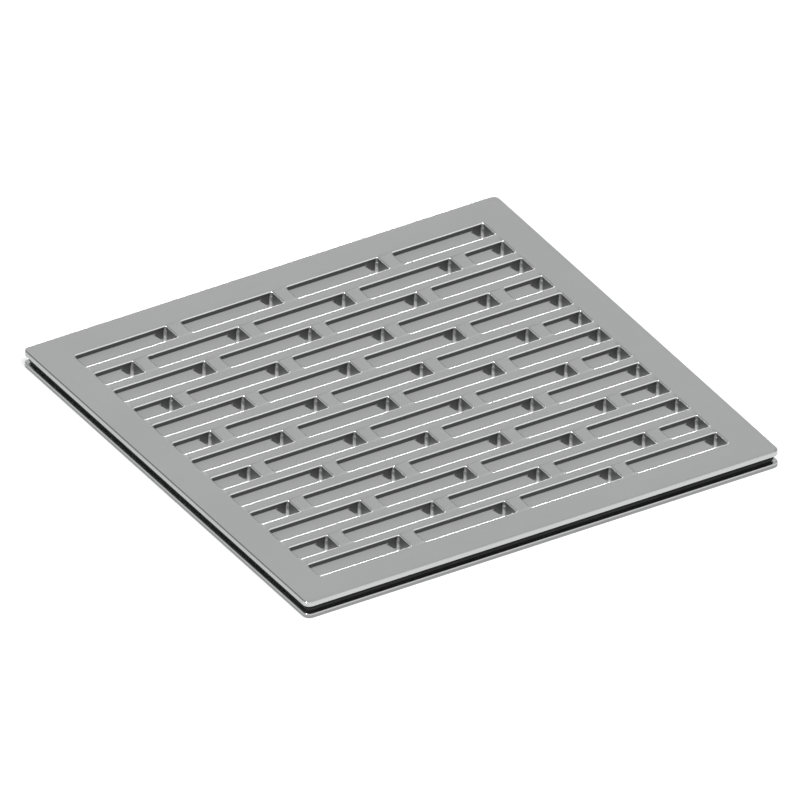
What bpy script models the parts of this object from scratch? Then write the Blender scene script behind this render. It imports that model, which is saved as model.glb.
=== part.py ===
"""Square two-plate floor drain grate.

A pressed top grate with a brick pattern of slots lies over a strainer plate, which closes
each slot from below except for a small outlet at the slot's right end.  Studs hold the
strainer plate under the grate.  The pair lifts off a frame plate of the same outline, which
carries a rubber edge gasket and four locating pins; a grommet in each corner of the strainer
plate grips its pin.

Metres, +Z up.  The origin is at the middle of the underside.  +X is the side that the
outlets lie towards, and -Y is the front.
"""

import math

import bmesh
import bpy

MM = 0.001

# Plates
SIDE = 150.0 * MM
TOTAL_HEIGHT = 5.2 * MM
TOP_THICKNESS = 1.5 * MM
FRAME_THICKNESS = 1.35 * MM
OUTLINE_CORNER = 2.1 * MM
RIM_RADIUS = 0.35 * MM
LAYER_GAP = 0.2 * MM          # air between a plate and what lies on or under it
CORNER_STEPS = 6
RIM_STEPS = 3

# Slots in the top grate, wall to wall
SLOT_LENGTH = 29.0 * MM
SLOT_WIDTH = 6.5 * MM
SLOT_BRIDGE = 4.47 * MM       # metal left between two slots of a row
SLOT_CORNER = 0.5 * MM
SLOT_CORNER_STEPS = 2
ROW_PAIR_PITCH = 20.45 * MM   # from one full row to the next full row
STAGGERED_ROW_DROP = 10.47 * MM
FULL_ROWS = 7
STAGGERED_ROWS = 6

# Outlets at the right end of each slot
OUTLET_LENGTH = 4.1 * MM      # along its rear wall, where it is longest
OUTLET_SLANT = 0.2            # how far the left end moves right for each length towards the front
OUTLET_CORNER = 0.7 * MM

# Edge gasket
GASKET_INSET = 1.1 * MM
GASKET_WIDTH = 3.0 * MM
GASKET_CORNER = 1.2 * MM
GASKET_INNER_CORNER = 0.5 * MM
GASKET_GAP = 0.3 * MM         # air between the gasket and the strainer plate
STRAINER_CORNER = 1.5 * MM

# Locating pins and the grommets that grip them
PIN_PLACE = 67.5 * MM
PIN_RADIUS = 1.2 * MM
PIN_TIP_CHAMFER = 0.4 * MM
PIN_FOOT_RECESS = 0.1 * MM
PIN_SEAT_GAP = 0.05 * MM
PIN_TIP_DROP = 0.4 * MM       # pin tip below the grate's underside
GROMMET_BORE = 1.3 * MM
GROMMET_RADIUS = 1.9 * MM
GROMMET_SEAT_GAP = 0.1 * MM
GROMMET_RECESS = 0.1 * MM
GROMMET_EDGE = 0.2 * MM

# Studs that hold the strainer plate under the grate
STUD_PLACE = 67.6 * MM
STUD_SPREAD = 34.0 * MM
STUD_RADIUS = 1.0 * MM
STUD_HEAD_RADIUS = 1.6 * MM
STUD_HEAD_HEIGHT = 0.5 * MM
STUD_GAP = 0.1 * MM
ROUND_SIDES = 16

# Heights of the layers, from the underside up
FRAME_TOP = FRAME_THICKNESS
GRATE_UNDERSIDE = TOTAL_HEIGHT - TOP_THICKNESS
LAYER_LOW = FRAME_TOP + LAYER_GAP
LAYER_HIGH = GRATE_UNDERSIDE - LAYER_GAP

# Plan sizes that follow from the ones above
HALF_SIDE = SIDE / 2
GASKET_OUTER = HALF_SIDE - GASKET_INSET
GASKET_INNER = GASKET_OUTER - GASKET_WIDTH
STRAINER_HALF = GASKET_INNER - GASKET_GAP
SLOT_PITCH = SLOT_LENGTH + SLOT_BRIDGE
PATTERN_HALF = 2 * SLOT_LENGTH + 1.5 * SLOT_BRIDGE
SHORT_SLOT = PATTERN_HALF - 1.5 * SLOT_LENGTH - 2 * SLOT_BRIDGE

SHARP_ANGLE = math.radians(35)


def clear_scene():
    """Remove every object that is already in the scene."""
    for thing in list(bpy.data.objects):
        bpy.data.objects.remove(thing, do_unlink=True)


def make_material(name, colour, metallic, roughness):
    """Return a Principled material."""
    material = bpy.data.materials.new(name)
    material.use_nodes = True
    shader = material.node_tree.nodes["Principled BSDF"]
    shader.inputs["Base Color"].default_value = (*colour, 1.0)
    shader.inputs["Metallic"].default_value = metallic
    shader.inputs["Roughness"].default_value = roughness
    return material


def rounded_box(x_low, x_high, y_low, y_high, radius, steps):
    """Return the points of a rectangle with round corners, counter-clockwise."""
    centres = (
        (x_high - radius, y_high - radius),
        (x_low + radius, y_high - radius),
        (x_low + radius, y_low + radius),
        (x_high - radius, y_low + radius),
    )
    points = []
    for quarter, (centre_x, centre_y) in enumerate(centres):
        for step in range(steps + 1):
            angle = math.pi / 2 * (quarter + step / steps)
            points.append((centre_x + radius * math.cos(angle), centre_y + radius * math.sin(angle)))
    return points


def rounded_square(half, radius, steps=CORNER_STEPS):
    """Return the points of a centred square with round corners."""
    return rounded_box(-half, half, -half, half, radius, steps)


def circle(x, y, radius):
    """Return the points of a circle, counter-clockwise."""
    turns = [2 * math.pi * index / ROUND_SIDES for index in range(ROUND_SIDES)]
    return [(x + radius * math.cos(turn), y + radius * math.sin(turn)) for turn in turns]


def slots():
    """Return every slot of the brick pattern as (left end, right end, middle of the row)."""
    first_row = (FULL_ROWS - 1) / 2 * ROW_PAIR_PITCH
    found = []
    for row in range(FULL_ROWS):
        y = first_row - row * ROW_PAIR_PITCH
        for column in range(4):
            left = -PATTERN_HALF + column * SLOT_PITCH
            found.append((left, left + SLOT_LENGTH, y))
    for row in range(STAGGERED_ROWS):
        y = first_row - row * ROW_PAIR_PITCH - STAGGERED_ROW_DROP
        found.append((-PATTERN_HALF, -PATTERN_HALF + SHORT_SLOT, y))
        for column in (-1, 0, 1):
            middle = column * SLOT_PITCH
            found.append((middle - SLOT_LENGTH / 2, middle + SLOT_LENGTH / 2, y))
        found.append((PATTERN_HALF - SHORT_SLOT, PATTERN_HALF, y))
    return found


def slot_outline(left, right, y):
    """Return the outline of one slot."""
    half = SLOT_WIDTH / 2
    return rounded_box(left, right, y - half, y + half, SLOT_CORNER, SLOT_CORNER_STEPS)


def outlet_outline(right, y):
    """Return the outline of the outlet at a slot's right end; its left end runs aslant."""
    half = SLOT_WIDTH / 2
    left = right - OUTLET_LENGTH
    square = rounded_box(left, right, y - half, y + half, OUTLET_CORNER, SLOT_CORNER_STEPS)
    middle = (left + right) / 2
    return [(px + OUTLET_SLANT * (y + half - py) if px < middle else px, py) for px, py in square]


def corner_places():
    """Return the four pin positions with a name for each."""
    return [
        ("front_left", -PIN_PLACE, -PIN_PLACE),
        ("front_right", PIN_PLACE, -PIN_PLACE),
        ("rear_left", -PIN_PLACE, PIN_PLACE),
        ("rear_right", PIN_PLACE, PIN_PLACE),
    ]


def stud_places():
    """Return the eight stud positions, two along each side, with a name for each."""
    places = []
    for sign, word in ((-1, "low"), (1, "high")):
        along = sign * STUD_SPREAD
        places.append((f"front_{word}", along, -STUD_PLACE))
        places.append((f"rear_{word}", along, STUD_PLACE))
        places.append((f"left_{word}", -STUD_PLACE, along))
        places.append((f"right_{word}", STUD_PLACE, along))
    return places


def straight_stack(points, low, high):
    """Return the two levels of an upright wall."""
    return [(points, low), (points, high)]


def rim_stack(half, corner, low, high, rim):
    """Return the levels of a square's outer wall with a quarter-round rim above and below."""
    quarters = [math.pi / 2 * step / RIM_STEPS for step in range(RIM_STEPS + 1)]
    lower = [(rim * (1 - math.sin(turn)), low + rim * (1 - math.cos(turn))) for turn in quarters]
    upper = [(inset, low + high - level) for inset, level in reversed(lower)]
    return [(rounded_square(half - inset, corner - inset), level) for inset, level in lower + upper]


def skin(mesh, stack, closed=False):
    """Join a stack of levels, all with the same number of points, with quads."""
    rings = [[mesh.verts.new((x, y, level)) for x, y in points] for points, level in stack]
    pairs = list(zip(rings, rings[1:]))
    if closed:
        pairs.append((rings[-1], rings[0]))
    for below, above in pairs:
        count = len(below)
        for index in range(count):
            after = (index + 1) % count
            mesh.faces.new((below[index], below[after], above[after], above[index]))
    return rings


def ring_edges(mesh, ring):
    """Return the edges that join a ring's neighbouring points."""
    return [mesh.edges.get((ring[index - 1], ring[index])) for index in range(len(ring))]


def add_object(name, mesh, material, parent, location=(0.0, 0.0, 0.0)):
    """Put a mesh in the scene under its body's empty."""
    thing = bpy.data.objects.new(name, mesh)
    bpy.context.scene.collection.objects.link(thing)
    thing.location = location
    thing.parent = parent
    thing.data.materials.clear()
    thing.data.materials.append(material)
    return thing


def finish_mesh(name, shape):
    """Turn a bmesh into a mesh with outward faces, smooth where it is round."""
    bmesh.ops.recalc_face_normals(shape, faces=shape.faces)
    mesh = bpy.data.meshes.new(name)
    shape.to_mesh(mesh)
    shape.free()
    mesh.shade_smooth()
    mesh.set_sharp_from_angle(angle=SHARP_ANGLE)
    return mesh


def plate_mesh(name, outer_stack, hole_stacks):
    """Return a flat plate: an outer wall, a wall round each hole, and a face above and below."""
    shape = bmesh.new()
    walls = [skin(shape, stack) for stack in [outer_stack] + hole_stacks]
    for end in (0, -1):
        border = [edge for rings in walls for edge in ring_edges(shape, rings[end])]
        bmesh.ops.triangle_fill(shape, use_beauty=True, use_dissolve=False, edges=border)
    return finish_mesh(name, shape)


def turned_mesh(name, profile):
    """Return a solid turned from (radius, height) pairs, from its foot to its tip."""
    shape = bmesh.new()
    rings = skin(shape, [(circle(0.0, 0.0, radius), level) for radius, level in profile])
    shape.faces.new(rings[0])
    shape.faces.new(rings[-1])
    return finish_mesh(name, shape)


def ring_mesh(name, stack):
    """Return a ring whose levels run once round its section."""
    shape = bmesh.new()
    skin(shape, stack, closed=True)
    return finish_mesh(name, shape)


def build_top_grate(material, parent):
    """Top plate with the brick pattern of slots."""
    holes = [straight_stack(slot_outline(*slot), GRATE_UNDERSIDE, TOTAL_HEIGHT) for slot in slots()]
    outer = rim_stack(HALF_SIDE, OUTLINE_CORNER, GRATE_UNDERSIDE, TOTAL_HEIGHT, RIM_RADIUS)
    add_object("top_grate", plate_mesh("top_grate", outer, holes), material, parent)


def build_strainer_plate(material, parent):
    """Inner plate: the floor of every slot, with its outlet, stud holes and grommet holes."""
    holes = [straight_stack(outlet_outline(right, y), LAYER_LOW, LAYER_HIGH) for _, right, y in slots()]
    for _, x, y in corner_places():
        seat = circle(x, y, GROMMET_RADIUS + GROMMET_SEAT_GAP)
        holes.append(straight_stack(seat, LAYER_LOW, LAYER_HIGH))
    counterbore_floor = LAYER_LOW + STUD_HEAD_HEIGHT + 2 * STUD_GAP
    for _, x, y in stud_places():
        wide = circle(x, y, STUD_HEAD_RADIUS + STUD_GAP)
        narrow = circle(x, y, STUD_RADIUS + STUD_GAP)
        holes.append(
            [(wide, LAYER_LOW), (wide, counterbore_floor), (narrow, counterbore_floor), (narrow, LAYER_HIGH)]
        )
    outer = straight_stack(rounded_square(STRAINER_HALF, STRAINER_CORNER), LAYER_LOW, LAYER_HIGH)
    add_object("strainer_plate", plate_mesh("strainer_plate", outer, holes), material, parent)


def build_bottom_frame(material, parent):
    """Lower plate with an outlet under each slot and a seat for each pin."""
    holes = [straight_stack(outlet_outline(right, y), 0.0, FRAME_TOP) for _, right, y in slots()]
    for _, x, y in corner_places():
        holes.append(straight_stack(circle(x, y, PIN_RADIUS + PIN_SEAT_GAP), 0.0, FRAME_TOP))
    outer = rim_stack(HALF_SIDE, OUTLINE_CORNER, 0.0, FRAME_TOP, RIM_RADIUS)
    add_object("bottom_frame", plate_mesh("bottom_frame", outer, holes), material, parent)


def build_edge_gasket(material, parent):
    """Rubber ring between the two plates, set back from their edges."""
    outer = rounded_square(GASKET_OUTER, GASKET_CORNER)
    inner = rounded_square(GASKET_INNER, GASKET_INNER_CORNER)
    section = [(outer, LAYER_LOW), (outer, LAYER_HIGH), (inner, LAYER_HIGH), (inner, LAYER_LOW)]
    add_object("edge_gasket", ring_mesh("edge_gasket", section), material, parent)


def build_locating_pins(material, parent):
    """Four pins that stand in the frame's corners."""
    tip = GRATE_UNDERSIDE - PIN_TIP_DROP
    profile = [
        (PIN_RADIUS, PIN_FOOT_RECESS),
        (PIN_RADIUS, tip - PIN_TIP_CHAMFER),
        (PIN_RADIUS - PIN_TIP_CHAMFER, tip),
    ]
    mesh = turned_mesh("locating_pin", profile)
    for place, x, y in corner_places():
        add_object(f"locating_pin_{place}", mesh, material, parent, (x, y, 0.0))


def build_pin_grommets(material, parent):
    """Four rubber bushes in the strainer plate, with a lead-in at each end of the bore."""
    low = LAYER_LOW + GROMMET_RECESS
    high = LAYER_HIGH - GROMMET_RECESS
    section = [
        (GROMMET_RADIUS, low),
        (GROMMET_RADIUS, high),
        (GROMMET_BORE + GROMMET_EDGE, high),
        (GROMMET_BORE, high - GROMMET_EDGE),
        (GROMMET_BORE, low + GROMMET_EDGE),
        (GROMMET_BORE + GROMMET_EDGE, low),
    ]
    mesh = ring_mesh("pin_grommet", [(circle(0.0, 0.0, radius), level) for radius, level in section])
    for place, x, y in corner_places():
        add_object(f"pin_grommet_{place}", mesh, material, parent, (x, y, 0.0))


def build_fixing_studs(material, parent):
    """Eight headed studs that hold the strainer plate under the grate."""
    foot = LAYER_LOW + STUD_GAP
    shoulder = foot + STUD_HEAD_HEIGHT
    profile = [
        (STUD_HEAD_RADIUS, foot),
        (STUD_HEAD_RADIUS, shoulder),
        (STUD_RADIUS, shoulder),
        (STUD_RADIUS, LAYER_HIGH + LAYER_GAP / 2),
    ]
    mesh = turned_mesh("fixing_stud", profile)
    for place, x, y in stud_places():
        add_object(f"fixing_stud_{place}", mesh, material, parent, (x, y, 0.0))


def add_body(name):
    """Return an empty that holds the pieces which move together."""
    body = bpy.data.objects.new(name, None)
    bpy.context.scene.collection.objects.link(body)
    return body


def main():
    """Build the frame half and the lift-off grate half."""
    clear_scene()
    steel = make_material("brushed_stainless", (0.60, 0.61, 0.61), 1.0, 0.35)
    pin_steel = make_material("pin_stainless", (0.66, 0.66, 0.66), 1.0, 0.25)
    rubber = make_material("black_rubber", (0.020, 0.020, 0.021), 0.0, 0.70)

    frame_half = add_body("frame_half")
    build_bottom_frame(steel, frame_half)
    build_edge_gasket(rubber, frame_half)
    build_locating_pins(pin_steel, frame_half)

    grate_half = add_body("grate_half")
    build_top_grate(steel, grate_half)
    build_strainer_plate(steel, grate_half)
    build_pin_grommets(rubber, grate_half)
    build_fixing_studs(pin_steel, grate_half)


main()
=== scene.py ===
"""Looks of a square two-plate floor drain grate.

The grate half (slotted top plate, strainer plate, grommets and studs) rides on the body "grate";
the frame half (lower plate, rubber edge gasket and locating pins) rides on the body "frame".
All lengths are metres, +Z up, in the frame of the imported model.
"""

import logging
import math
from dataclasses import dataclass, field
from enum import Enum, IntEnum

import bmesh
import bpy
import numpy as np
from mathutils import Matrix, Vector


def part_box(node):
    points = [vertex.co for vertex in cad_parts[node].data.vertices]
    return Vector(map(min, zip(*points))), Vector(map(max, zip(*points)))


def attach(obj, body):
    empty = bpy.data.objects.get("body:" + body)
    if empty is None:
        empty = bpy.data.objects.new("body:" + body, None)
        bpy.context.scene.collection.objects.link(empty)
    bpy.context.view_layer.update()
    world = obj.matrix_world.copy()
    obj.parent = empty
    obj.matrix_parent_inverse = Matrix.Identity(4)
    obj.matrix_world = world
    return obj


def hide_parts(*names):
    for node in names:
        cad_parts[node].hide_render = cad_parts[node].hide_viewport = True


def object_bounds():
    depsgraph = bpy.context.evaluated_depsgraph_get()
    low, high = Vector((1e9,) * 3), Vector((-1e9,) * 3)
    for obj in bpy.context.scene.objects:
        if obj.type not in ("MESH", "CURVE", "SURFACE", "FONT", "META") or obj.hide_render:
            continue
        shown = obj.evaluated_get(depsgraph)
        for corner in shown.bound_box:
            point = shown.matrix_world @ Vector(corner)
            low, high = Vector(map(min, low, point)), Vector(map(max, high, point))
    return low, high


LOG = logging.getLogger("drain_grate")
MM = 0.001
# Heights nearer to each other than this count as one level.
LEVEL_TOLERANCE = 0.001 * MM
# A noise texture stays almost wholly between these values.
NOISE_LOW, NOISE_HIGH = 0.3, 0.7

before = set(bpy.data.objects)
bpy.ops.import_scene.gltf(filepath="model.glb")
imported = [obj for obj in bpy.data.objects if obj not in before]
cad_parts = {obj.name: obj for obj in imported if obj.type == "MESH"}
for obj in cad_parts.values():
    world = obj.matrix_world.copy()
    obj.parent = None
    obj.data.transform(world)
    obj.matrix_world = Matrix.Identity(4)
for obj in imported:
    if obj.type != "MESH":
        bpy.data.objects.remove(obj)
CAD_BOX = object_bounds()


class Body(Enum):
    """The two halves that come apart."""

    FRAME = "frame"
    GRATE = "grate"


class Slot(Enum):
    """The record's material slots."""

    PLATE = "brushed_stainless"
    PIN = "pin_stainless"
    RUBBER = "black_rubber"


class GrateSurface(IntEnum):
    """Finish numbers of the top plate; the strainer plate uses the first five."""

    # RIM, WALL, END, CORNER, SLOT_RIM and SIDE_RIM take steel copies with painted shade or painted light in
    # their colour.
    FACE = 0
    RIM = 1
    WALL = 2
    END = 3
    CORNER = 4
    SLOT_RIM = 5
    DULL_RIM = 6
    SIDE_RIM = 7


class FrameSurface(IntEnum):
    """Finish numbers of the lower plate."""

    # RIM, OUTLET_WALL, EDGE and OUTLET_CORNER take steel copies with painted shade or painted light in their
    # colour.
    FACE = 0
    RIM = 1
    OUTLET_WALL = 2
    EDGE = 3
    OUTLET_CORNER = 4


class Grain(Enum):
    """How a steel surface was finished: stretch of its noise along X, Y and Z, per metre."""

    BRUSHED_ALONG_X = (90.0, 5200.0, 5200.0)
    BRUSHED_UPRIGHT = (2600.0, 2600.0, 300.0)
    EVEN = (2400.0, 2400.0, 2400.0)


# ---------------------------------------------------------------- finishes


@dataclass(frozen=True)
class SteelFinish:
    """A stainless surface: grain, faint cloudiness and an uneven polish.

    Attributes:
        name: the material's name.
        colour: the metal's reflectance, linear; in the rim, side rim, slot rim, wall, end, corner and edge
            copies it also holds painted shade or painted light.
        roughness: middle roughness.
        roughness_spread: how far the grain moves the roughness, up and down together.
        colour_spread: how far cloudiness and grain darken the metal, as a share.
        metallic: 1 for bare bright metal, less where a blasted skin scatters the light.
        grain: direction and scale of the grain.
        grain_height: height of the grain's ridges in metres.
    """

    name: str
    colour: tuple[float, float, float]
    roughness: float
    roughness_spread: float = 0.06
    colour_spread: float = 0.04
    metallic: float = 1.0
    grain: Grain = Grain.BRUSHED_ALONG_X
    grain_height: float = 0.0008 * MM

    def material(self) -> bpy.types.Material:
        """Return the finish as a node material that reads Object coordinates."""
        material = new_material(self.name)
        nodes, links = material.node_tree.nodes, material.node_tree.links
        shader = nodes["Principled BSDF"]
        shader.inputs["Metallic"].default_value = self.metallic

        place = nodes.new("ShaderNodeTexCoord")
        stretch = nodes.new("ShaderNodeMapping")
        stretch.inputs["Scale"].default_value = self.grain.value
        links.new(place.outputs["Object"], stretch.inputs["Vector"])
        grain = add_noise(material, stretch.outputs["Vector"], scale=1.0, detail=5.0, roughness=0.6)
        cloud = add_noise(material, place.outputs["Object"], scale=38.0, detail=3.0, roughness=0.5)

        rough = add_range(material, grain, self.roughness - self.roughness_spread / 2,
                          self.roughness + self.roughness_spread / 2)
        links.new(rough, shader.inputs["Roughness"])

        grain_share = add_range(material, grain, 1.0 - self.colour_spread / 2, 1.0 + self.colour_spread / 2)
        cloud_share = add_range(material, cloud, 1.0 - self.colour_spread / 2, 1.0 + self.colour_spread / 2)
        share = nodes.new("ShaderNodeMath")
        share.operation = "MULTIPLY"
        links.new(grain_share, share.inputs[0])
        links.new(cloud_share, share.inputs[1])
        tint = nodes.new("ShaderNodeVectorMath")
        tint.operation = "SCALE"
        tint.inputs[0].default_value = self.colour
        links.new(share.outputs["Value"], tint.inputs["Scale"])
        links.new(tint.outputs["Vector"], shader.inputs["Base Color"])

        bump = nodes.new("ShaderNodeBump")
        bump.inputs["Strength"].default_value = 1.0
        bump.inputs["Distance"].default_value = self.grain_height
        links.new(grain, bump.inputs["Height"])
        links.new(bump.outputs["Normal"], shader.inputs["Normal"])
        return material


@dataclass(frozen=True)
class RubberFinish:
    """Matt moulded rubber: a fine pebbled skin with a faint dusty bloom.

    Attributes:
        name: the material's name.
        colour: the rubber's own colour, linear.
        bloom: its colour where dust lies on it.
        roughness: middle roughness.
        roughness_spread: how far the pebbles move the roughness, up and down together.
        pebble_scale: pebbles per metre.
        pebble_height: height of the pebbles in metres.
        bloom_scale: patches of bloom per metre.
    """

    name: str
    colour: tuple[float, float, float]
    bloom: tuple[float, float, float]
    roughness: float
    roughness_spread: float = 0.12
    pebble_scale: float = 2600.0
    pebble_height: float = 0.010 * MM
    bloom_scale: float = 180.0

    def material(self) -> bpy.types.Material:
        """Return the finish as a node material that reads Object coordinates."""
        material = new_material(self.name)
        nodes, links = material.node_tree.nodes, material.node_tree.links
        shader = nodes["Principled BSDF"]
        shader.inputs["Specular IOR Level"].default_value = 0.2
        place = nodes.new("ShaderNodeTexCoord")
        pebble = add_noise(material, place.outputs["Object"], self.pebble_scale, detail=3.0, roughness=0.5)
        cloud = add_noise(material, place.outputs["Object"], self.bloom_scale, detail=3.0, roughness=0.6)
        mix = nodes.new("ShaderNodeMix")
        mix.data_type = "RGBA"
        mix.inputs["A"].default_value = (*self.colour, 1.0)
        mix.inputs["B"].default_value = (*self.bloom, 1.0)
        links.new(add_range(material, cloud, 0.0, 1.0), mix.inputs["Factor"])
        links.new(mix.outputs["Result"], shader.inputs["Base Color"])
        rough = add_range(material, pebble, self.roughness - self.roughness_spread / 2,
                          self.roughness + self.roughness_spread / 2)
        links.new(rough, shader.inputs["Roughness"])
        bump = nodes.new("ShaderNodeBump")
        bump.inputs["Distance"].default_value = self.pebble_height
        links.new(pebble, bump.inputs["Height"])
        links.new(bump.outputs["Normal"], shader.inputs["Normal"])
        return material


def new_material(name: str) -> bpy.types.Material:
    """Return an empty Principled material."""
    material = bpy.data.materials.new(name)
    material.use_nodes = True
    return material


def add_noise(material: bpy.types.Material, vector: bpy.types.NodeSocket, scale: float, detail: float,
              roughness: float) -> bpy.types.NodeSocket:
    """Add a noise texture.

    Args:
        material: the material it goes into.
        vector: the coordinates it reads.
        scale: noise cells per unit of those coordinates.
        detail: octaves.
        roughness: weight of the finer octaves.

    Returns:
        The socket with the noise, about 0.5 on average.
    """
    noise = material.node_tree.nodes.new("ShaderNodeTexNoise")
    noise.inputs["Scale"].default_value = scale
    noise.inputs["Detail"].default_value = detail
    noise.inputs["Roughness"].default_value = roughness
    material.node_tree.links.new(vector, noise.inputs["Vector"])
    return noise.outputs["Fac"]


def add_range(material: bpy.types.Material, value: bpy.types.NodeSocket, low: float,
              high: float) -> bpy.types.NodeSocket:
    """Add a Map Range node that spreads a noise value over low to high.

    Args:
        material: the material it goes into.
        value: a noise socket; NOISE_LOW gives low and NOISE_HIGH gives high.
        low: lowest result.
        high: highest result.

    Returns:
        The socket with the result.
    """
    node = material.node_tree.nodes.new("ShaderNodeMapRange")
    node.inputs["From Min"].default_value = NOISE_LOW
    node.inputs["From Max"].default_value = NOISE_HIGH
    node.inputs["To Min"].default_value = low
    node.inputs["To Max"].default_value = high
    material.node_tree.links.new(value, node.inputs["Value"])
    return node.outputs["Result"]


# ---------------------------------------------------------------- surfaces


def corner_directions(steps: int) -> tuple[np.ndarray, np.ndarray]:
    """Work out the points of a rounded rectangle's corners, counter-clockwise.

    Corner k holds steps + 1 points at the angles (k + i / steps) quarter turns.

    Args:
        steps: facets in one corner.

    Returns:
        The corner each point belongs to as signs of X and Y, and each point's outward
        direction, both of shape (4 * (steps + 1), 2).
    """
    corner = np.repeat(np.arange(4), steps + 1)
    turn = 0.5 * np.pi * (corner + np.tile(np.linspace(0.0, 1.0, steps + 1), 4))
    diagonal = 0.5 * np.pi * (corner + 0.5)
    signs = np.sign(np.stack([np.cos(diagonal), np.sin(diagonal)], axis=1))
    return signs, np.stack([np.cos(turn), np.sin(turn)], axis=1)


def corner_start(corner: int, steps: int) -> int:
    """Return the number of a corner's first point round the outline.

    Args:
        corner: 0 rear right, 1 rear left, 2 front left, 3 front right.
        steps: facets in one corner.
    """
    return corner * (steps + 1)


def walls(centres: np.ndarray, halves: np.ndarray, corner: float, profile: np.ndarray,
          steps: int, front_cut: np.ndarray | None = None) -> np.ndarray:
    """Work out the walls of several rounded rectangles at once.

    Each wall is a surface of two parameters: u runs round the outline, and v along the
    profile, whose (offset, height) pairs grow the outline outwards and lift it.
    Point = centre + sign * (half size - corner) + direction * (corner + offset).

    Args:
        centres: middle of each rectangle, shape (n, 2).
        halves: half sizes, shape (n, 2).
        corner: corner radius at offset 0.
        profile: (offset, height) from the foot up, shape (levels, 2).
        steps: facets in one corner.
        front_cut: X at which each front run gets an extra point, shape (n,), or None.

    Returns:
        Points of shape (n, levels, around, 3).
    """
    signs, directions = corner_directions(steps)
    middle = centres[:, None, None, :] + signs * (halves[:, None, None, :] - corner)
    plan = middle + directions * (corner + profile[:, 0][:, None, None])
    if front_cut is not None:
        front_right = corner_start(3, steps)
        cut = plan[:, :, front_right:front_right + 1].copy()
        cut[..., 0] = front_cut[:, None, None]
        plan = np.concatenate([plan[:, :, :front_right], cut, plan[:, :, front_right:]], axis=2)
    height = np.broadcast_to(profile[:, 1][:, None], plan.shape[:3])
    return np.concatenate([plan, height[..., None]], axis=-1)


def turned(centres: np.ndarray, profile: np.ndarray, sides: int) -> np.ndarray:
    """Work out round walls: point = centre + radius * (cos u, sin u), at the profile's height.

    Args:
        centres: axis of each wall, shape (n, 2).
        profile: (radius, height) pairs, shape (levels, 2).
        sides: facets round the axis.

    Returns:
        Points of shape (n, levels, sides, 3).
    """
    turn = 2.0 * np.pi * np.arange(sides) / sides
    ring = np.stack([np.cos(turn), np.sin(turn)], axis=1)
    plan = centres[:, None, None, :] + ring * profile[:, 0][:, None, None]
    height = np.broadcast_to(profile[:, 1][:, None], plan.shape[:3])
    return np.concatenate([plan, height[..., None]], axis=-1)


def eased(low: float, high: float, foot: float, rim: float, steps: int, outward: float,
          spread: float = 1.0) -> np.ndarray:
    """Work out an upright wall whose foot and rim are quarter rounds.

    Along a round of radius r, offset = outward * r * (1 - sin t) and the height leaves its
    end by r * (1 - cos t), with t from 0 at the flat face to a quarter turn at the wall.
    The rim's offset is spread times that, which makes its round a quarter ellipse.

    Args:
        low: height of the foot.
        high: height of the rim.
        foot: radius at the foot; 0 leaves it sharp.
        rim: radius at the rim; 0 leaves it sharp.
        steps: facets in each round.
        outward: 1 for a hole, which opens out at its rim, and -1 for an outside wall.
        spread: width of the rim's round over its depth.

    Returns:
        (offset, height) pairs from the foot up.
    """
    turn = np.linspace(0.0, 0.5 * np.pi, steps + 1)
    parts = []
    if foot > 0.0:
        lower = np.stack([outward * foot * (1 - np.sin(turn)), low + foot * (1 - np.cos(turn))], 1)
        parts.append(lower)
    else:
        parts.append(np.array([[0.0, low]]))
    if rim > 0.0:
        upper = np.stack([outward * spread * rim * (1 - np.sin(turn)), high - rim * (1 - np.cos(turn))], 1)
        parts.append(upper[::-1])
    else:
        parts.append(np.array([[0.0, high]]))
    return np.concatenate(parts)


@dataclass
class Skin:
    """Surfaces gathered into one mesh, each with the finish of its faces.

    Attributes:
        points: arrays of points, shape (n, 3).
        quads: arrays of point numbers, shape (n, 4).
        finish: number of the finish of each quad.
        count: points gathered so far.
    """

    points: list[np.ndarray] = field(default_factory=list)
    quads: list[np.ndarray] = field(default_factory=list)
    finish: list[np.ndarray] = field(default_factory=list)
    count: int = 0

    def add(self, surfaces: np.ndarray, finish: np.ndarray, closed: bool = False) -> None:
        """Add walls that close on themselves round their outline.

        Args:
            surfaces: points of shape (n, levels, around, 3).
            finish: finish numbers that broadcast to (n, bands, around).
            closed: True if the last level joins the first, as in a ring.
        """
        number, levels, around, _ = surfaces.shape
        index = self.count + np.arange(number * levels * around).reshape(number, levels, around)
        below = index if closed else index[:, :-1]
        above = np.roll(index, -1, axis=1) if closed else index[:, 1:]
        quads = np.stack([below, np.roll(below, -1, 2), np.roll(above, -1, 2), above], axis=-1)
        self.points.append(surfaces.reshape(-1, 3))
        self.quads.append(quads.reshape(-1, 4))
        self.finish.append(np.broadcast_to(finish, below.shape).ravel())
        self.count += number * levels * around

    def mesh(self, name: str) -> bpy.types.Mesh:
        """Return the gathered quads as a mesh."""
        mesh = bpy.data.meshes.new(name)
        mesh.from_pydata(np.concatenate(self.points), [], np.concatenate(self.quads).tolist())
        mesh.polygons.foreach_set("material_index", np.concatenate(self.finish).astype(np.int32))
        return mesh


def close_flats(mesh: bpy.types.Mesh, levels: tuple[float, ...]) -> None:
    """Fill the flat faces between the open rims at each level, with finish 0.

    Args:
        mesh: walls whose only open edges lie at these levels.
        levels: heights of the flat faces.
    """
    shape = bmesh.new()
    shape.from_mesh(mesh)
    rims = [edge for edge in shape.edges if edge.is_boundary]
    for level in levels:
        border = [edge for edge in rims if abs(edge.verts[0].co.z - level) < LEVEL_TOLERANCE]
        bmesh.ops.triangle_fill(shape, use_beauty=True, use_dissolve=False, edges=border)
    bmesh.ops.recalc_face_normals(shape, faces=shape.faces)
    shape.to_mesh(mesh)
    shape.free()


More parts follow.
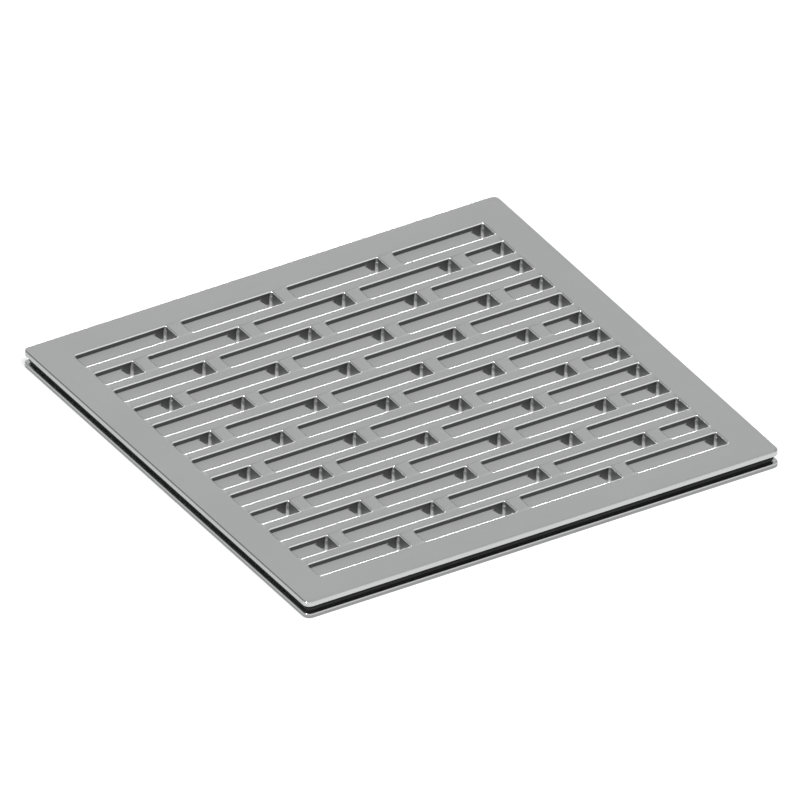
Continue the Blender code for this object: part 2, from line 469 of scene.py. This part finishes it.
def add_piece(mesh: bpy.types.Mesh, finishes: list[bpy.types.Material], body: Body,
              node: str, sharp_degrees: float = 35.0) -> bpy.types.Object:
    """Put a finished mesh on its body in place of its CAD node.

    Args:
        mesh: the mesh, in its place.
        finishes: its materials, in order of their numbers.
        body: the half it moves with.
        node: the CAD node it stands for.
        sharp_degrees: edges that turn by more than this stay sharp.

    Returns:
        The new object.
    """
    for finish in finishes:
        mesh.materials.append(finish)
    mesh.shade_smooth()
    mesh.set_sharp_from_angle(angle=math.radians(sharp_degrees))
    piece = bpy.data.objects.new(mesh.name, mesh)
    bpy.context.scene.collection.objects.link(piece)
    flatten = piece.modifiers.new("flat_faces_stay_flat", "WEIGHTED_NORMAL")
    flatten.keep_sharp = True
    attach(piece, body.value)
    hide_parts(node)
    LOG.info("%s: %d faces, rides on %s", piece.name, len(mesh.polygons), body.value)
    return piece


# ---------------------------------------------------------------- the pattern


@dataclass
class BrickPattern:
    """Rows of slots, staggered like bricks, with a small outlet at each slot's right end.

    Attributes:
        slot_length: length of a full slot.
        slot_width: width of every slot.
        bridge: metal between two slots of a row.
        row_pair_pitch: distance from one full row to the next.
        staggered_drop: distance from a full row to the staggered row in front of it.
        full_rows: rows of four slots.
        staggered_rows: rows of three slots and two short ones.
        outlet_length: length of an outlet along its rear wall.
        outlet_slant: how far an outlet's left end moves right per metre forward.
    """

    slot_length: float = 29.0 * MM
    slot_width: float = 6.5 * MM
    bridge: float = 4.47 * MM
    row_pair_pitch: float = 20.45 * MM
    staggered_drop: float = 10.47 * MM
    full_rows: int = 7
    staggered_rows: int = 6
    outlet_length: float = 4.1 * MM
    outlet_slant: float = 0.2

    def spans(self) -> np.ndarray:
        """Return left end, right end and row height of every slot, shape (n, 3).

        A full row holds four slots.  A staggered row holds three, half a pitch over, and a
        short one at each end that ends flush with the full rows.
        """
        pitch = self.slot_length + self.bridge
        edge = 2.0 * self.slot_length + 1.5 * self.bridge
        short = edge - 1.5 * self.slot_length - 2.0 * self.bridge
        first = 0.5 * (self.full_rows - 1) * self.row_pair_pitch
        full_y = first - self.row_pair_pitch * np.arange(self.full_rows)
        full_left = -edge + pitch * np.arange(4)
        middle_left = pitch * np.array([-1.0, 0.0, 1.0]) - 0.5 * self.slot_length
        staggered_left = np.concatenate([[-edge], middle_left, [edge - short]])
        staggered_length = np.array([short, *[self.slot_length] * 3, short])
        staggered_y = first - self.staggered_drop - self.row_pair_pitch * np.arange(self.staggered_rows)
        full = np.stack(np.broadcast_arrays(full_left, full_left + self.slot_length, full_y[:, None]), -1)
        staggered = np.stack(
            np.broadcast_arrays(staggered_left, staggered_left + staggered_length, staggered_y[:, None]), -1)
        return np.concatenate([full.reshape(-1, 3), staggered.reshape(-1, 3)])

    def slots(self) -> tuple[np.ndarray, np.ndarray]:
        """Return the middles and half sizes of the slots."""
        left, right, y = self.spans().T
        centres = np.stack([0.5 * (left + right), y], axis=1)
        halves = np.stack([0.5 * (right - left), np.full_like(y, 0.5 * self.slot_width)], axis=1)
        return centres, halves

    def outlets(self) -> tuple[np.ndarray, np.ndarray]:
        """Return the middles and half sizes of the outlets."""
        _, right, y = self.spans().T
        centres = np.stack([right - 0.5 * self.outlet_length, y], axis=1)
        halves = np.full_like(centres, 0.5 * self.outlet_length)
        halves[:, 1] = 0.5 * self.slot_width
        return centres, halves

    def outlet_walls(self, corner: float, profile: np.ndarray, steps: int) -> np.ndarray:
        """Return the walls of the outlets, whose left ends run aslant.

        Points left of an outlet's middle move right by slant * (rear wall's y - y).

        Args:
            corner: corner radius.
            profile: (offset, height) pairs from the foot up.
            steps: facets in one corner.

        Returns:
            Points of shape (n, levels, around, 3).
        """
        centres, halves = self.outlets()
        points = walls(centres, halves, corner, profile, steps)
        rear = (centres + halves)[:, 1][:, None, None]
        left = points[..., 0] < centres[:, 0][:, None, None]
        points[..., 0] += np.where(left, self.outlet_slant * (rear - points[..., 1]), 0.0)
        return points


def side_finish(steps: int, long_wall: int, end_wall: int, corner: int) -> np.ndarray:
    """Return one finish number for each facet round a rounded rectangle.

    Args:
        steps: facets in one corner.
        long_wall: finish of the runs along X.
        end_wall: finish of the runs along Y.
        corner: finish of the round corners.

    Returns:
        Array of 4 * (steps + 1) finish numbers.
    """
    run = np.repeat([long_wall, end_wall, long_wall, end_wall], steps + 1)
    place = np.tile(np.arange(steps + 1), 4)
    return np.where(place < steps, corner, run)


# ---------------------------------------------------------------- sub-assemblies


@dataclass
class GrateHalf:
    """The part that lifts off: slotted plate, strainer plate, grommets and studs.

    The materials come first, then the sizes in the order of the pieces that use them.
    """

    pattern: BrickPattern
    face: bpy.types.Material
    rim: bpy.types.Material
    slot_wall: bpy.types.Material
    slot_end: bpy.types.Material
    slot_corner: bpy.types.Material
    pocket: bpy.types.Material
    slot_rim_finish: bpy.types.Material
    dull_rim: bpy.types.Material
    side_rim: bpy.types.Material
    stud_steel: bpy.types.Material
    rubber: bpy.types.Material
    outline_corner: float = 2.1 * MM
    outer_rim: float = 0.40 * MM
    outer_foot: float = 0.15 * MM
    slot_corner_radius: float = 0.5 * MM
    slot_rim: float = 0.34 * MM
    slot_rim_spread: float = 1.25
    strainer_corner: float = 1.5 * MM
    outlet_corner: float = 0.7 * MM
    outlet_rim: float = 0.10 * MM
    layer_gap: float = 0.01 * MM
    seat_clearance: float = 0.05 * MM
    head_clearance: float = 0.1 * MM
    head_recess: float = 0.6 * MM
    shank_hole_radius: float = 1.1 * MM
    grommet_bore_radius: float = 1.3 * MM
    stud_shank_radius: float = 1.0 * MM
    stud_head_height: float = 0.5 * MM
    stud_edge: float = 0.12 * MM
    corner_steps: int = 8
    rim_steps: int = 8
    outlet_rim_steps: int = 3
    lip_steps: int = 28
    dome_steps: int = 8
    round_sides: int = 40

    def build(self) -> None:
        """Build every piece of the half."""
        self.build_top_plate()
        self.build_strainer()
        for node in sorted(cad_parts):
            if node.startswith("pin_grommet"):
                self.build_grommet(node)
            if node.startswith("fixing_stud"):
                self.build_stud(node)

    def build_top_plate(self) -> None:
        """Top plate: rolled outer rims, and slots whose upper edge is rounded over."""
        low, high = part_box("top_grate")
        skin = Skin()
        outer = eased(low.z, high.z, self.outer_foot, self.outer_rim, self.rim_steps, outward=-1.0)
        # Painted shade: the front and rear outer rims take the darker rim steel, and the left and right ones
        # the still darker side-rim steel.
        sides = side_finish(self.corner_steps, GrateSurface.RIM, GrateSurface.SIDE_RIM, GrateSurface.RIM)
        skin.add(walls(np.zeros((1, 2)), np.array([[high.x, high.y]]), self.outline_corner, outer,
                       self.corner_steps), sides[None, None])
        centres, halves = self.pattern.slots()
        outlet_centres, outlet_halves = self.pattern.outlets()
        front_cut = (outlet_centres - outlet_halves)[:, 0]
        inner = eased(low.z, high.z, 0.0, self.slot_rim, self.rim_steps, 1.0, self.slot_rim_spread)
        left_run = corner_start(2, self.corner_steps) - 1
        beside_outlet = corner_start(3, self.corner_steps)
        # Painted shade and light: the slots' long walls take the near-black wall steel, their end walls the
        # dark end steel and their inner corners the lighter corner steel.
        wall = side_finish(self.corner_steps, GrateSurface.WALL, GrateSurface.END, GrateSurface.CORNER)
        wall = np.insert(wall, beside_outlet, GrateSurface.WALL)
        # Painted highlight: the slots' rims take the brighter slot-rim steel.
        rim = np.full_like(wall, GrateSurface.SLOT_RIM)
        rim[beside_outlet:beside_outlet + self.corner_steps + 1] = GrateSurface.DULL_RIM
        # The slots' left-end rims take the darker side-rim steel, which is painted shade.
        rim[left_run] = GrateSurface.SIDE_RIM
        lowest = np.arange(len(inner) - 1)[:, None] == 0
        finish = np.where(lowest, wall, rim)
        skin.add(walls(centres, halves, self.slot_corner_radius, inner, self.corner_steps, front_cut),
                 finish[None])
        mesh = skin.mesh("slotted_top_plate")
        close_flats(mesh, (low.z, high.z))
        finishes = [self.face, self.rim, self.slot_wall, self.slot_end, self.slot_corner,
                    self.slot_rim_finish, self.dull_rim, self.side_rim]
        add_piece(mesh, finishes, Body.GRATE, "top_grate")

    def build_strainer(self) -> None:
        """Strainer plate: the floor of the slots, with outlets, grommet seats and stud holes."""
        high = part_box("strainer_plate")[1]
        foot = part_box("bottom_frame")[1].z + self.layer_gap
        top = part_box("top_grate")[0].z - self.layer_gap
        skin = Skin()
        outer = eased(foot, top, 0.0, 0.0, self.rim_steps, outward=-1.0)
        # The strainer's outer wall takes the darker rim steel, which is painted shade.
        skin.add(walls(np.zeros((1, 2)), np.array([[high.x, high.y]]), self.strainer_corner, outer,
                       self.corner_steps), np.array(GrateSurface.RIM))
        inner = eased(foot, top, 0.0, self.outlet_rim, self.outlet_rim_steps, outward=1.0)
        # Painted shade and light: the outlets' long walls take the near-black wall steel, their ends the
        # dark end steel and their corners the lighter corner steel.
        around = side_finish(self.corner_steps, GrateSurface.WALL, GrateSurface.END, GrateSurface.CORNER)
        skin.add(self.pattern.outlet_walls(self.outlet_corner, inner, self.corner_steps), around[None, None])
        self.add_fixing_holes(skin, foot, top)
        mesh = skin.mesh("strainer_floor_plate")
        close_flats(mesh, (foot, top))
        finishes = [self.pocket, self.rim, self.slot_wall, self.slot_end, self.slot_corner]
        add_piece(mesh, finishes, Body.GRATE, "strainer_plate")

    def add_fixing_holes(self, skin: Skin, low: float, top: float) -> None:
        """Add the round holes of the strainer plate: grommet seats and counterbored stud holes.

        Args:
            skin: the plate's walls so far.
            low: height of the plate's underside.
            top: height of its upper face.
        """
        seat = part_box("pin_grommet_rear_right")
        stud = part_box("fixing_stud_rear_high")
        seat_radius = 0.5 * (seat[1].x - seat[0].x) + self.seat_clearance
        head_radius = 0.5 * (stud[1].x - stud[0].x) + self.head_clearance
        floor = stud[0].z + self.head_recess
        # The hole walls take the near-black wall steel, which is painted shade.
        skin.add(turned(centres_of("pin_grommet"), np.array([[seat_radius, low], [seat_radius, top]]),
                        self.round_sides), np.array(GrateSurface.WALL))
        profile = np.array([[head_radius, low], [head_radius, floor], [self.shank_hole_radius, floor],
                            [self.shank_hole_radius, top]])
        skin.add(turned(centres_of("fixing_stud"), profile, self.round_sides),
                 np.array(GrateSurface.WALL))

    def build_grommet(self, node: str) -> None:
        """Grommet: a rubber bush with rounded lips, whose bore is narrowest at half height.

        The section is a closed superellipse in (radius, height), |x| ** 4 + |y| ** 4 = 1
        stretched between the bore and the outer wall and between the two lips.

        Args:
            node: the CAD node it stands for.
        """
        low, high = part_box(node)
        centre = np.array([[0.5 * (low.x + high.x), 0.5 * (low.y + high.y)]])
        outer = 0.5 * (high.x - low.x)
        turn = np.linspace(0.0, 2.0 * np.pi, self.lip_steps, endpoint=False)
        reach = 0.5 * (outer - self.grommet_bore_radius)
        tall = 0.5 * (high.z - low.z)
        across = np.sign(np.cos(turn)) * np.abs(np.cos(turn)) ** 0.5
        upright = np.sign(np.sin(turn)) * np.abs(np.sin(turn)) ** 0.5
        section = np.stack([self.grommet_bore_radius + reach + reach * across,
                            low.z + tall + tall * upright], axis=1)
        skin = Skin()
        skin.add(turned(centre, section, self.round_sides), np.array(0), closed=True)
        add_piece(closed_mesh(skin, "rubber_" + node), [self.rubber], Body.GRATE, node)

    def build_stud(self, node: str) -> None:
        """Stud: a shallow domed head below and a plain shank, with small bevels at its edges.

        Args:
            node: the CAD node it stands for.
        """
        low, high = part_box(node)
        head = 0.5 * (high.x - low.x)
        shank, edge = self.stud_shank_radius, self.stud_edge
        shoulder = low.z + self.stud_head_height
        dome = np.linspace(0.15, 1.0, self.dome_steps)
        head_profile = np.stack([(head - edge) * dome, low.z + edge * dome ** 3], axis=1)
        rest = np.array([[head, low.z + 2 * edge], [head, shoulder - edge], [head - edge, shoulder],
                         [shank, shoulder], [shank, high.z - edge], [shank - edge, high.z]])
        build_turned_piece(node, np.concatenate([head_profile, rest]), self.round_sides,
                           self.stud_steel, Body.GRATE)


@dataclass
class FrameHalf:
    """The part that stays in the floor: lower plate, edge gasket and locating pins.

    The materials come first, then the sizes in the order of the pieces that use them.
    """

    pattern: BrickPattern
    face: bpy.types.Material
    rim: bpy.types.Material
    outlet_wall: bpy.types.Material
    edge: bpy.types.Material
    outlet_corner_finish: bpy.types.Material
    pin_steel: bpy.types.Material
    rubber: bpy.types.Material
    outline_corner: float = 2.1 * MM
    rim_radius: float = 0.32 * MM
    foot_radius: float = 0.15 * MM
    outlet_corner: float = 0.7 * MM
    outlet_edge: float = 0.02 * MM
    seat_clearance: float = 0.03 * MM
    gasket_corner: float = 1.2 * MM
    gasket_width: float = 3.0 * MM
    gasket_gap_below: float = 0.01 * MM
    gasket_gap_above: float = 0.02 * MM
    bead_height: float = 0.35
    bead_reach: float = 0.20
    hollow: float = 0.5 * MM
    pin_nose: float = 0.6 * MM
    pin_foot_bevel: float = 0.1 * MM
    pin_nose_turn: float = 0.46 * math.pi
    corner_steps: int = 8
    rim_steps: int = 8
    outlet_edge_steps: int = 2
    gasket_corner_steps: int = 16
    bead_points: int = 25
    nose_points: int = 10
    round_sides: int = 40

    def build(self) -> None:
        """Build every piece of the half."""
        self.build_lower_plate()
        self.build_gasket()
        for node in sorted(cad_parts):
            if node.startswith("locating_pin"):
                self.build_pin(node)

    def build_lower_plate(self) -> None:
        """Lower plate: rounded outer rims, an outlet under each slot and four pin seats."""
        low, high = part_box("bottom_frame")
        skin = Skin()
        outer = eased(low.z, high.z, self.foot_radius, self.rim_radius, self.rim_steps, outward=-1.0)
        # Painted shade: the foot round and the upright wall take the darker edge steel, the round at the top
        # the rim steel.
        upper = np.arange(len(outer) - 1) > self.rim_steps
        bands = np.where(upper, FrameSurface.RIM, FrameSurface.EDGE)[:, None]
        skin.add(walls(np.zeros((1, 2)), np.array([[high.x, high.y]]), self.outline_corner, outer,
                       self.corner_steps), bands[None])
        inner = eased(low.z, high.z, self.outlet_edge, self.outlet_edge, self.outlet_edge_steps, outward=1.0)
        # Painted shade and light: the outlet walls take the dark end steel and their corners the lighter
        # corner steel.
        around = side_finish(self.corner_steps, FrameSurface.OUTLET_WALL, FrameSurface.OUTLET_WALL,
                             FrameSurface.OUTLET_CORNER)
        skin.add(self.pattern.outlet_walls(self.outlet_corner, inner, self.corner_steps), around[None, None])
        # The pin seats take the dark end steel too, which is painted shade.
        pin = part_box("locating_pin_rear_right")
        seat = 0.5 * (pin[1].x - pin[0].x) + self.seat_clearance
        skin.add(turned(centres_of("locating_pin"), np.array([[seat, low.z], [seat, high.z]]),
                        self.round_sides), np.array(FrameSurface.OUTLET_WALL))
        mesh = skin.mesh("lower_frame_plate")
        close_flats(mesh, (low.z, high.z))
        finishes = [self.face, self.rim, self.outlet_wall, self.edge, self.outlet_corner_finish]
        add_piece(mesh, finishes, Body.FRAME, "bottom_frame")

    def build_gasket(self) -> None:
        """Edge gasket: a rubber ring whose outer face swells into a bead.

        The outer face is set in by hollow * (1 - bead), where the bead is a smooth hump
        exp(-((rise - bead_height) / bead_reach) ** 4) and rise runs from 0 to 1 up the ring.

        Known fault: the ring is wider than its corner radius, so the inner outline crosses
        itself at the corners and the top face overlaps there.
        """
        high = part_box("edge_gasket")[1]
        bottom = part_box("bottom_frame")[1].z + self.gasket_gap_below
        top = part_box("top_grate")[0].z - self.gasket_gap_above
        rise = np.linspace(0.0, 1.0, self.bead_points)
        bead = np.exp(-(((rise - self.bead_height) / self.bead_reach) ** 4))
        face = np.stack([-self.hollow * (1.0 - bead), bottom + (top - bottom) * rise], axis=1)
        inner = np.array([[-self.gasket_width, top], [-self.gasket_width, bottom]])
        skin = Skin()
        skin.add(walls(np.zeros((1, 2)), np.array([[high.x, high.y]]), self.gasket_corner,
                       np.concatenate([face, inner]), self.gasket_corner_steps), np.array(0), closed=True)
        add_piece(closed_mesh(skin, "rubber_edge_gasket"), [self.rubber], Body.FRAME,
                  "edge_gasket")

    def build_pin(self, node: str) -> None:
        """Locating pin: a straight shank with a bullet nose.

        Over the nose, radius = shank * cos(t) ** 0.6 and height rises with sin(t).

        Args:
            node: the CAD node it stands for.
        """
        low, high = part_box(node)
        shank = 0.5 * (high.x - low.x)
        turn = np.linspace(0.0, self.pin_nose_turn, self.nose_points)
        lift = self.pin_nose * np.sin(turn) / math.sin(self.pin_nose_turn)
        tip = np.stack([shank * np.cos(turn) ** 0.6, high.z - self.pin_nose + lift], axis=1)
        foot = np.array([[shank - self.pin_foot_bevel, low.z], [shank, low.z + self.pin_foot_bevel]])
        build_turned_piece(node, np.concatenate([foot, tip]), self.round_sides, self.pin_steel,
                           Body.FRAME)


def centres_of(prefix: str) -> np.ndarray:
    """Return the plan middles of the CAD nodes whose name starts with prefix, shape (n, 2)."""
    boxes = [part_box(node) for node in sorted(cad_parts) if node.startswith(prefix)]
    return np.array([[0.5 * (low.x + high.x), 0.5 * (low.y + high.y)] for low, high in boxes])


def closed_mesh(skin: Skin, name: str) -> bpy.types.Mesh:
    """Return a skin that has no open edges as a mesh with outward faces."""
    mesh = skin.mesh(name)
    close_flats(mesh, ())
    return mesh


def build_turned_piece(node: str, profile: np.ndarray, sides: int, finish: bpy.types.Material,
                       body: Body) -> None:
    """Build a turned pin or stud that stands for a CAD node.

    Args:
        node: the CAD node.
        profile: (radius, height) pairs from the foot up.
        sides: facets round the axis.
        finish: its material.
        body: the half it moves with.
    """
    low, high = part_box(node)
    centre = np.array([[0.5 * (low.x + high.x), 0.5 * (low.y + high.y)]])
    skin = Skin()
    skin.add(turned(centre, profile, sides), np.array(0))
    mesh = skin.mesh("turned_" + node)
    close_flats(mesh, (profile[0, 1], profile[-1, 1]))
    add_piece(mesh, [finish], body, node)


# ---------------------------------------------------------------- studio


@dataclass(frozen=True)
class Lamp:
    """A soft rectangular lamp that faces the object.

    Attributes:
        name: the lamp's name.
        towards: direction from the object to the lamp.
        width: size across, as a share of its distance.
        height: size upright, as a share of its distance.
        radiance: brightness of the panel, where 1 is the white of the background.
        diffuse: whether it lights matt surfaces.
        glossy: whether it shows in polished ones.
    """

    name: str
    towards: tuple[float, float, float]
    width: float
    height: float
    radiance: float
    diffuse: bool = True
    glossy: bool = True


@dataclass
class Studio:
    """Pale floor, soft surroundings, three lamps and the camera.

    Attributes:
        azimuth: camera's angle round the object, in degrees from the front.
        elevation: camera's angle above the floor, in degrees.
        frame_width: width of the view in metres.
        aim_right: how far the object's middle sits right of the view's middle.
        aim_up: how far it sits above it.
        distance: camera's distance.
        floor_half: half the floor's side.
        floor_drop: how far the floor lies below the object, so that the two don't touch.
        floor_white: reflectance of the floor.
        floor_glow: light the floor gives off itself.
        rear_sky: (height, brightness) pairs from the horizon up, behind the object.
        front_sky: the same in front of it.
        blend_rear: Y of the direction where the sky is all rear.
        blend_front: Y of the direction where it is all front.
        lamp_distance: distance of the lamps.
        lamps: a key light, a low strip for the slots' front edges and a spark for one corner.
    """

    azimuth: float = -31.01
    elevation: float = 32.65
    frame_width: float = 217.0 * MM
    aim_right: float = 0.325 * MM
    aim_up: float = 0.217 * MM
    distance: float = 1.2
    floor_half: float = 4.0
    floor_drop: float = 0.02 * MM
    floor_white: float = 0.30
    floor_glow: float = 0.62
    rear_sky: tuple[tuple[float, float], ...] = (
        (0.0, 0.80), (0.30, 0.78), (0.44, 0.74), (0.54, 0.56), (0.67, 0.26), (0.75, 0.30),
        (0.88, 0.9), (1.0, 0.98))
    front_sky: tuple[tuple[float, float], ...] = ((0.0, 1.0), (0.5, 1.05), (1.0, 0.95))
    blend_rear: float = 0.25
    blend_front: float = -0.25
    lamp_distance: float = 6.0
    lamps: tuple[Lamp, ...] = (
        Lamp("front_key", (0.0, -0.50, 0.85), 0.50, 0.50, 14.0, glossy=False),
        Lamp("edge_strip", (0.434, 0.889, 0.140), 0.20, 0.26, 10.0, diffuse=False),
        Lamp("corner_spark", (-0.629, -0.051, 0.774), 0.14, 0.20, 45.0, diffuse=False))

    def build(self) -> None:
        """Set up everything around the object."""
        self.build_floor()
        self.build_surroundings()
        for lamp in self.lamps:
            self.add_lamp(lamp)
        self.build_camera()
        bpy.context.scene.view_settings.view_transform = "Standard"

    def build_floor(self) -> None:
        """Lay a plain, very pale floor that glows enough to stay white under the grate's edge."""
        half = self.floor_half
        mesh = bpy.data.meshes.new("studio_floor")
        corners = [(-half, -half, 0.0), (half, -half, 0.0), (half, half, 0.0), (-half, half, 0.0)]
        mesh.from_pydata(corners, [], [(0, 1, 2, 3)])
        material = new_material("studio_floor_white")
        shader = material.node_tree.nodes["Principled BSDF"]
        shader.inputs["Base Color"].default_value = (*[self.floor_white] * 3, 1.0)
        shader.inputs["Roughness"].default_value = 1.0
        shader.inputs["Specular IOR Level"].default_value = 0.0
        shader.inputs["Emission Color"].default_value = (1.0, 1.0, 1.0, 1.0)
        shader.inputs["Emission Strength"].default_value = self.floor_glow
        mesh.materials.append(material)
        floor = bpy.data.objects.new("studio_floor", mesh)
        floor.location.z = -self.floor_drop
        bpy.context.scene.collection.objects.link(floor)

    def build_surroundings(self) -> None:
        """Surround the object with a soft sky.

        Behind the object the sky is a curve of the direction's height: a light horizon, a
        middle grey, a darker band and a bright ceiling.  In front it is an even light wall.
        The two blend smoothly across the middle.
        """
        world = bpy.data.worlds.new("soft_studio")
        bpy.context.scene.world = world
        world.use_nodes = True
        nodes, links = world.node_tree.nodes, world.node_tree.links
        place = nodes.new("ShaderNodeTexCoord")
        split = nodes.new("ShaderNodeSeparateXYZ")
        links.new(place.outputs["Generated"], split.inputs["Vector"])
        rear = self.add_curve(world, split.outputs["Z"], self.rear_sky)
        front = self.add_curve(world, split.outputs["Z"], self.front_sky)
        blend = nodes.new("ShaderNodeMapRange")
        blend.interpolation_type = "SMOOTHSTEP"
        blend.inputs["From Min"].default_value = self.blend_rear
        blend.inputs["From Max"].default_value = self.blend_front
        links.new(split.outputs["Y"], blend.inputs["Value"])
        mix = nodes.new("ShaderNodeMix")
        mix.data_type = "FLOAT"
        links.new(blend.outputs["Result"], mix.inputs["Factor"])
        links.new(rear, mix.inputs["A"])
        links.new(front, mix.inputs["B"])
        nodes["Background"].inputs["Color"].default_value = (1.0, 1.0, 1.0, 1.0)
        links.new(mix.outputs["Result"], nodes["Background"].inputs["Strength"])

    def add_lamp(self, lamp: Lamp) -> None:
        """Hang a lamp.

        Its power is radiance * 4 * width * height, which gives the panel that brightness.

        Args:
            lamp: what to hang.
        """
        width, height = lamp.width * self.lamp_distance, lamp.height * self.lamp_distance
        data = bpy.data.lights.new(lamp.name, "AREA")
        data.shape = "RECTANGLE"
        data.size, data.size_y = width, height
        data.energy = lamp.radiance * 4.0 * width * height
        panel = bpy.data.objects.new(lamp.name, data)
        direction = Vector(lamp.towards).normalized()
        panel.location = direction * self.lamp_distance
        panel.rotation_mode = "QUATERNION"
        panel.rotation_quaternion = direction.to_track_quat("Z", "Y")
        panel.visible_diffuse = lamp.diffuse
        panel.visible_glossy = lamp.glossy
        bpy.context.scene.collection.objects.link(panel)

    def add_curve(self, world: bpy.types.World, height: bpy.types.NodeSocket,
                  stops: tuple[tuple[float, float], ...]) -> bpy.types.NodeSocket:
        """Add a brightness curve to the world.

        Args:
            world: the world it goes into.
            height: socket with the sine of the direction's elevation.
            stops: (height, brightness) pairs from the horizon up.

        Returns:
            The socket with the brightness.
        """
        ramp = world.node_tree.nodes.new("ShaderNodeValToRGB")
        elements = ramp.color_ramp.elements
        elements[0].position, elements[1].position = stops[0][0], stops[-1][0]
        for position, _ in stops[1:-1]:
            elements.new(position)
        for element, (_, value) in zip(elements, stops):
            element.color = (value, value, value, 1.0)
        world.node_tree.links.new(height, ramp.inputs["Fac"])
        return ramp.outputs["Color"]

    def build_camera(self) -> None:
        """Place a camera with parallel projection at the viewing angle, aimed at the top face's middle."""
        azimuth, elevation = math.radians(self.azimuth), math.radians(self.elevation)
        back = Vector((math.sin(azimuth) * math.cos(elevation), -math.cos(azimuth) * math.cos(elevation),
                       math.sin(elevation)))
        right = Vector((math.cos(azimuth), math.sin(azimuth), 0.0))
        up = back.cross(right)
        middle = Vector((0.0, 0.0, CAD_BOX[1].z))
        data = bpy.data.cameras.new("studio_camera")
        data.type = "ORTHO"
        data.ortho_scale = self.frame_width
        data.clip_start, data.clip_end = 0.01, 20.0
        camera = bpy.data.objects.new("studio_camera", data)
        bpy.context.scene.collection.objects.link(camera)
        camera.location = middle + back * self.distance - right * self.aim_right - up * self.aim_up
        camera.rotation_mode = "QUATERNION"
        camera.rotation_quaternion = (-back).to_track_quat("-Z", "Y")
        bpy.context.scene.camera = camera


def main() -> None:
    """Build the two halves and the studio."""
    logging.basicConfig(level=logging.INFO, format="%(name)s: %(message)s")
    Studio().build()
    even, upright = Grain.EVEN, Grain.BRUSHED_UPRIGHT
    face = SteelFinish("satin_steel_face", (0.63, 0.635, 0.635), 0.20, 0.04, 0.03).material()
    # Painted shade: this darker copy of the face steel goes on the outer rims of both plates and on the
    # strainer's outer wall, toning down their reflection.
    rim = SteelFinish("painted_shade_rim_steel", (0.505, 0.51, 0.51), 0.13, 0.03, grain=even).material()
    # The slots' rims mirror the edge strip lamp, and this brighter copy of the rim steel adds a painted
    # highlight on top.
    slot_rim = SteelFinish("painted_highlight_slot_rim_steel", (0.70, 0.705, 0.705), 0.13, 0.03, grain=even,
                           grain_height=0.0001 * MM).material()
    dull_rim = SteelFinish("dulled_slot_rim", (0.62, 0.625, 0.625), 0.55, grain=even).material()
    # Painted shade: this darker copy of the rim steel goes on the left and right outer rims of the top plate
    # and on the slots' left-end rims.
    side_rim = SteelFinish("painted_shade_side_rim_steel", (0.405, 0.41, 0.41), 0.13, 0.03, grain=even).material()
    # Painted shade: this near-black copy of the steel goes on the long walls of the slots and outlets and on
    # the strainer's hole walls, in place of the shade inside them.
    wall = SteelFinish("painted_shade_slot_wall_steel", (0.14, 0.141, 0.143), 0.45, grain=upright).material()
    # Painted shade: this dark copy of the steel goes on the slots' end walls, the strainer outlets' ends,
    # the lower plate's outlet walls and its pin seats, in place of the shade in those recesses.
    end = SteelFinish("painted_shade_end_wall_steel", (0.33, 0.332, 0.335), 0.45, grain=upright).material()
    # Painted light: this lighter copy of the steel goes on the inner corners of the slots and outlets as the
    # light strip seen in those corners.
    corner = SteelFinish("painted_light_corner_steel", (0.55, 0.55, 0.555), 0.35, grain=upright).material()
    # Painted shade: this darker copy of the steel goes on the lower plate's outer wall and foot round, below
    # its rim.
    edge = SteelFinish("painted_shade_lower_edge_steel", (0.27, 0.272, 0.274), 0.35, grain=upright).material()
    pocket = SteelFinish("blasted_steel_floor", (0.205, 0.207, 0.207), 0.60, grain=even,
                         metallic=0.1).material()
    turned_steel = SteelFinish("turned_steel", (0.60, 0.60, 0.60), 0.25, grain=upright).material()
    rubber = RubberFinish("moulded_black_rubber", (0.014, 0.014, 0.0145), (0.022, 0.022, 0.0225),
                          0.75).material()
    pattern = BrickPattern()
    FrameHalf(pattern, face=face, rim=rim, outlet_wall=end, edge=edge, outlet_corner_finish=corner,
              pin_steel=turned_steel, rubber=rubber).build()
    GrateHalf(pattern, face=face, rim=rim, slot_wall=wall, slot_end=end, slot_corner=corner,
              pocket=pocket, slot_rim_finish=slot_rim, dull_rim=dull_rim, side_rim=side_rim,
              stud_steel=turned_steel, rubber=rubber).build()


if __name__ == "__main__":
    main()
